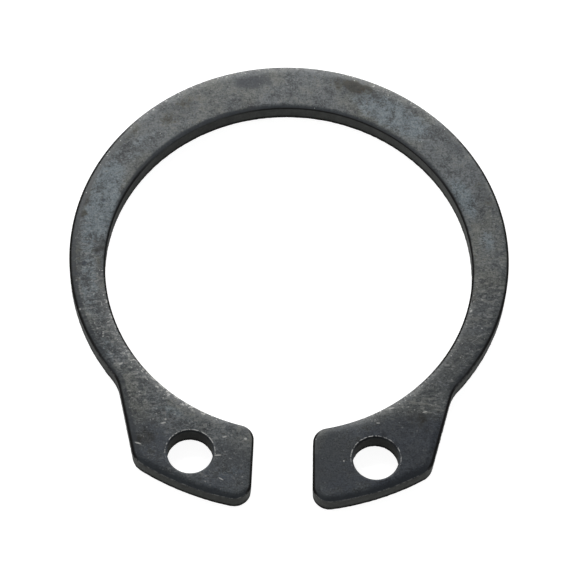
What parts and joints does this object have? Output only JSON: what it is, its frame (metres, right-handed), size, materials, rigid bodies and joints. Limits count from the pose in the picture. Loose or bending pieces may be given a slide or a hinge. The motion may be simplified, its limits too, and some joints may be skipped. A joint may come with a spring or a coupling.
{
  "type": "retaining ring",
  "caption": "Open spring-steel retaining ring that snaps into a groove round a shaft, with a tapering band and a lug with a plier hole on each side of its gap.",
  "frame": {"origin": "on the bore axis, at the underside of the ring", "axes": "+Z along the bore axis, up through the thickness; +Y from the gap towards the widest part of the band; X across the two lugs"},
  "size_m": [0.0222, 0.0247, 0.001],
  "materials": {
    "phosphated_spring_steel": "black phosphated and oiled, satin, mottled blue-grey and brown-grey"
  },
  "bodies": {
    "root": {"retaining_ring": "phosphated_spring_steel"}
  },
  "joints": []
}
